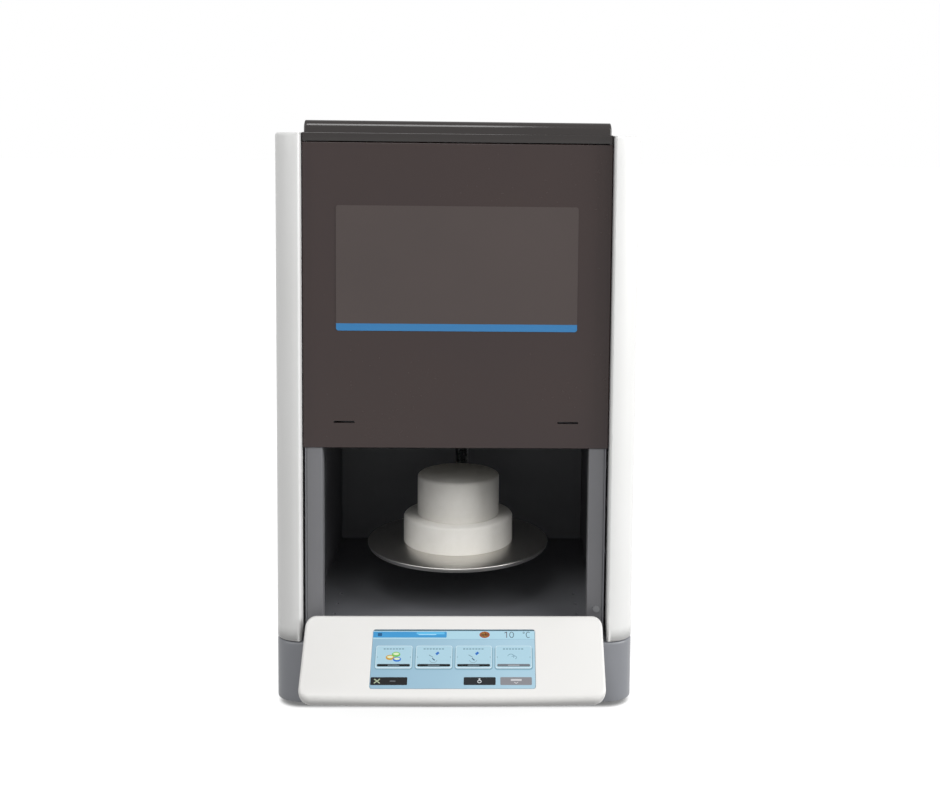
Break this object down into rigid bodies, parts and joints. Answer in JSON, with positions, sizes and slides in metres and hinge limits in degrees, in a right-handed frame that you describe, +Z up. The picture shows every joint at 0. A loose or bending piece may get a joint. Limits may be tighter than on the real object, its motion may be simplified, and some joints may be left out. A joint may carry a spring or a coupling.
{
  "type": "dental sintering furnace",
  "caption": "Bench-top dental furnace with an open bay, a table that lifts its ceramic hearth into the heating chamber above, and a sloping touch-screen console in front.",
  "frame": {"origin": "on the table top, under the middle of the furnace with its console (bottom centre of the bounding box)", "axes": "+X to the right seen from the front, +Y from the front to the rear, +Z up"},
  "size_m": [0.35, 0.4829, 0.573],
  "materials": {
    "panel_white": "satin powder coat",
    "base_grey": "moulded, fine grain",
    "post_grey": "satin powder coat",
    "bay_dark": "matt powder coat",
    "front_dark": "gloss enamel",
    "film": "gloss printed film",
    "crown_dark": "satin powder coat",
    "galvanised": "zinc coated sheet",
    "console_white": "moulded, fine grain",
    "screen": "polished",
    "module_black": "matt",
    "circuit_board": "solder mask",
    "fibre": "vacuum formed fibre, matt",
    "hearth_fibre": "vacuum formed fibre, matt",
    "element": "fired silicide",
    "holder_ceramic": "bisque",
    "aluminium": "satin",
    "black_anodised": "black anodised",
    "iron_core": "lacquered winding",
    "rubber": "matt",
    "plug_dark": "moulded",
    "steel": "satin",
    "polished_rod": "ground and plated",
    "bronze": "turned",
    "brass": "turned",
    "switch_black": "fine grain",
    "rocker_black": "moulded",
    "table_steel": "satin stainless"
  },
  "bodies": {
    "housing": {"back_panel": "panel_white", "base_skirt": "base_grey", "base_tray": "galvanised", "bay_back_wall": "bay_dark", "bay_floor": "bay_dark", "board_standoffs": "brass", "chamber_shelf": "bay_dark", "chamber_shell": "galvanised", "console_back_plate": "galvanised", "console_board": "circuit_board", "console_housing": "console_white", "control_board": "circuit_board", "display_module": "module_black", "element_holders": "holder_ceramic", "element_straps": "aluminium", "fan_frame": "module_black", "feet": "rubber", "frame_left": "galvanised", "frame_right": "galvanised", "front_film": "film", "front_panel": "front_dark", "guide_rods": "polished_rod", "heat_sink": "black_anodised", "heating_elements": "element", "insulation_floor": "fibre", "insulation_roof": "fibre", "insulation_wall": "fibre", "lift_frame": "galvanised", "lift_motor": "steel", "limit_switches": "module_black", "mains_inlet": "switch_black", "panel_screws": "steel", "post_left": "post_grey", "post_plug": "plug_dark", "post_right": "post_grey", "power_module": "module_black", "screen_glass": "screen", "screw_bearing": "steel", "side_panel_left": "panel_white", "side_panel_right": "panel_white", "switch_housing": "switch_black", "thermocouple": "holder_ceramic", "top_cover": "crown_dark", "transformer": "iron_core", "transformer_bolt": "steel", "transformer_pad": "rubber"},
    "lift": {"lift_carriage": "aluminium", "carriage_bushes": "bronze", "lead_nut": "bronze", "lift_arm": "galvanised", "table_hub": "aluminium", "table_disc": "table_steel", "hearth_lower": "hearth_fibre", "hearth_upper": "hearth_fibre"},
    "screw": {"lead_screw": "steel"},
    "rocker": {"switch_rocker": "rocker_black"},
    "rotor": {"fan_rotor": "module_black"}
  },
  "joints": [
    {"name": "lift_slide", "type": "slide", "parent": "housing", "child": "lift", "axis": [0, 0, 1], "range_m": [0, 0.128]},
    {"name": "screw_spin", "type": "hinge", "parent": "housing", "child": "screw", "pos_m": [0, 0.17965, 0.18], "axis": [0, 0, 1], "range_deg": [-2880, 0]},
    {"name": "rocker_tip", "type": "hinge", "parent": "housing", "child": "rocker", "pos_m": [-0.078, 0.23165, 0.042], "axis": [1, 0, 0], "range_deg": [0, 16]},
    {"name": "fan_spin", "type": "hinge", "parent": "housing", "child": "rotor", "pos_m": [0, 0.21965, 0.43], "axis": [0, 1, 0], "continuous": true}
  ],
  "couplings": [
    {"joint": "screw_spin", "follows": "lift_slide", "rad_per_m": -392.7}
  ]
}
